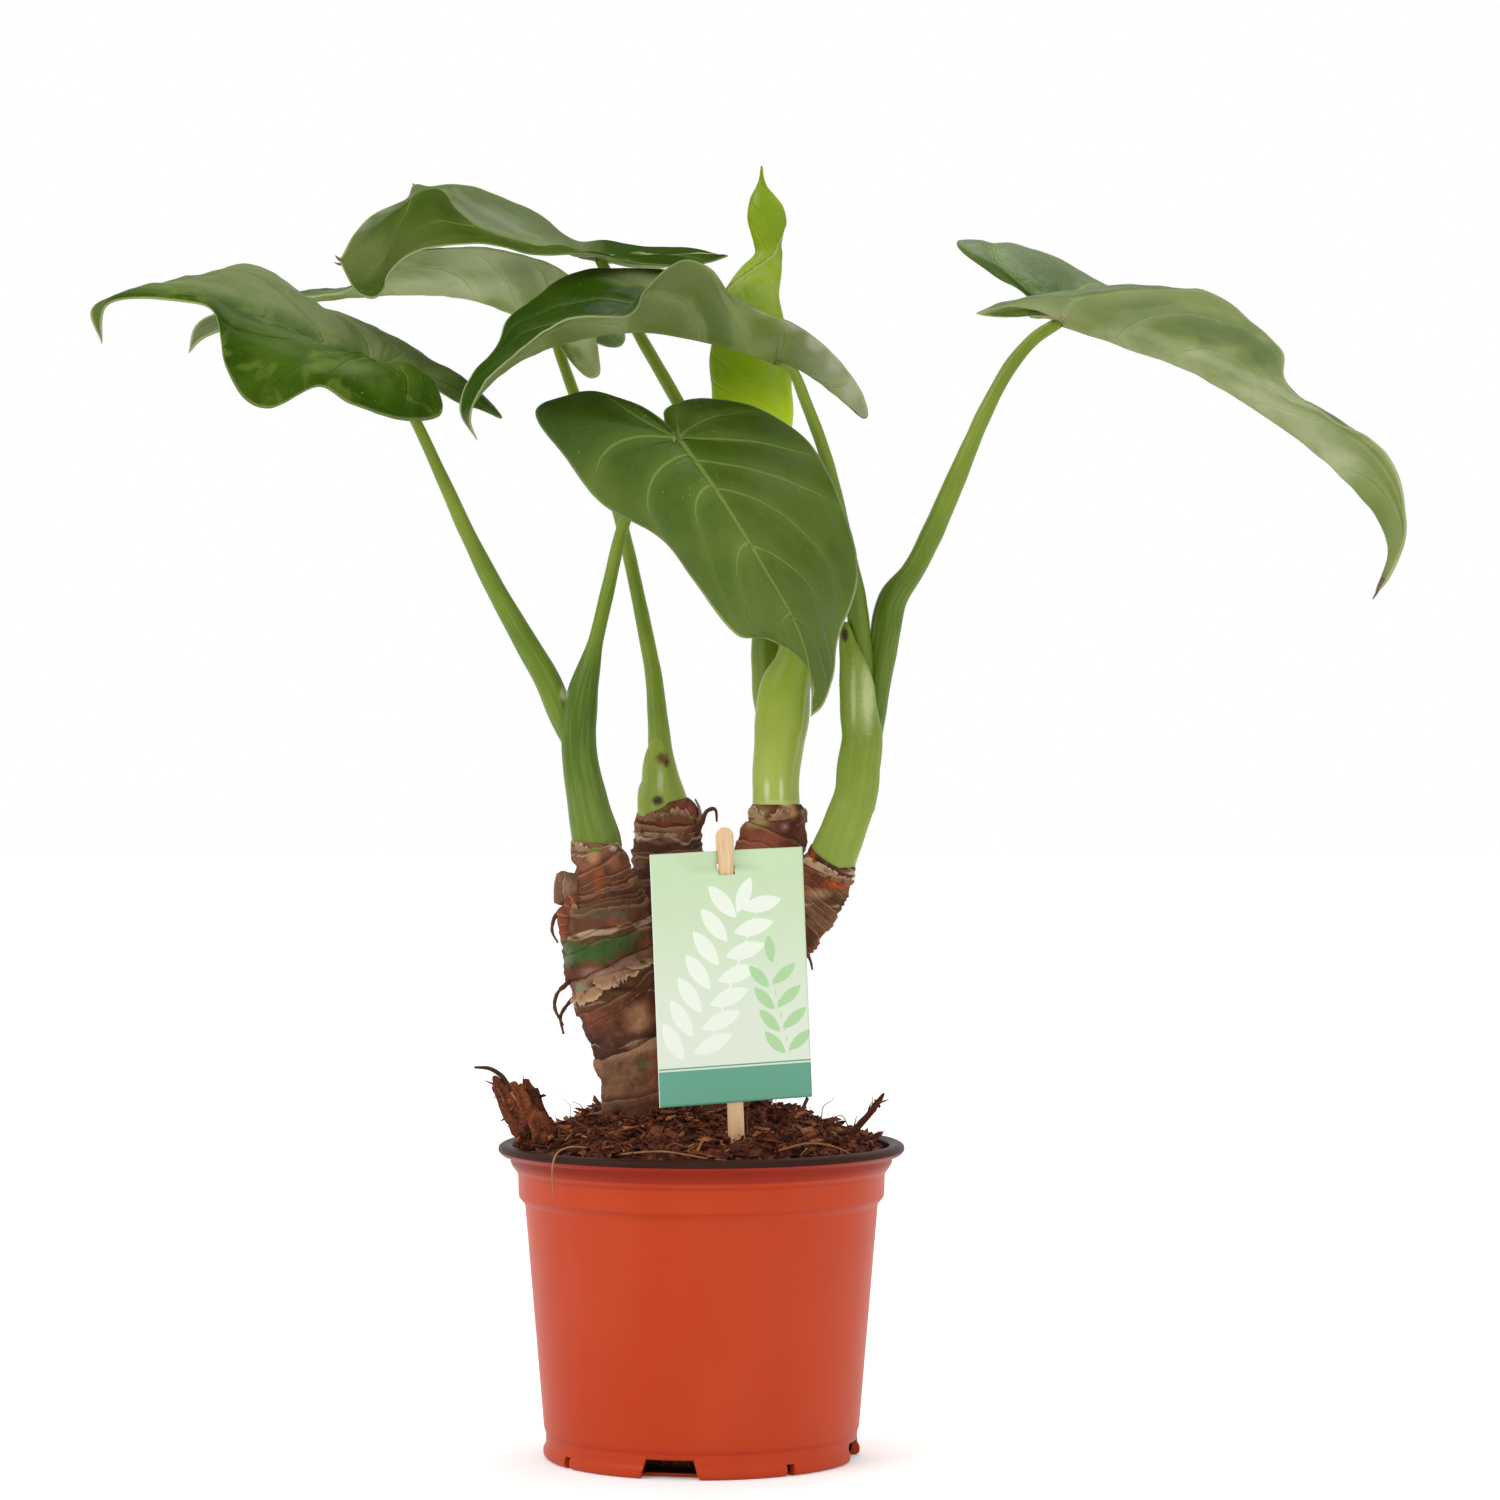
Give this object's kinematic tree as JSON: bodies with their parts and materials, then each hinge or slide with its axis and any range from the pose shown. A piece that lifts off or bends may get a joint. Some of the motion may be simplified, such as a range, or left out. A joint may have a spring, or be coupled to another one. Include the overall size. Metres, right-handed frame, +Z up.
{
  "type": "potted alocasia cucullata",
  "caption": "Upright aroid with glossy heart-shaped drooping leaves on slim stalks, ringed brown trunks, a rolled new leaf and a blank care card, in a tapered plastic nursery pot.",
  "frame": {"origin": "middle of the pot's flat underside, on the surface that it stands on", "axes": "+Z up along the pot's axis, +X to the picture's right and +Y away from its viewer"},
  "size_m": [0.4533, 0.2068, 0.45],
  "materials": {
    "pot_plastic": "satin, orange-red outside and dark grey on the rim and inside",
    "potting_mix": "rough, moist bark and coir fibre",
    "bark": "dull, ringed with leaf scars",
    "stalk": "smooth and slightly waxy",
    "young_leaf": "smooth, fresh yellow-green",
    "leaf": "glossy above, paler and duller below",
    "card": "satin print",
    "stick_wood": "plain sanded wood"
  },
  "bodies": {
    "root": {"pot": "pot_plastic", "soil": "potting_mix", "trunks": "bark", "stalks_left": "stalk", "stalks_middle": "stalk", "stalks_centre": "stalk", "stalks_right": "stalk", "new_leaf": "young_leaf", "leaf_front": "leaf", "leaf_left": "leaf", "leaf_back_high": "leaf", "leaf_back_low": "leaf", "leaf_centre": "leaf", "leaf_right": "leaf", "care_card": "card", "card_stick": "stick_wood"}
  },
  "joints": []
}
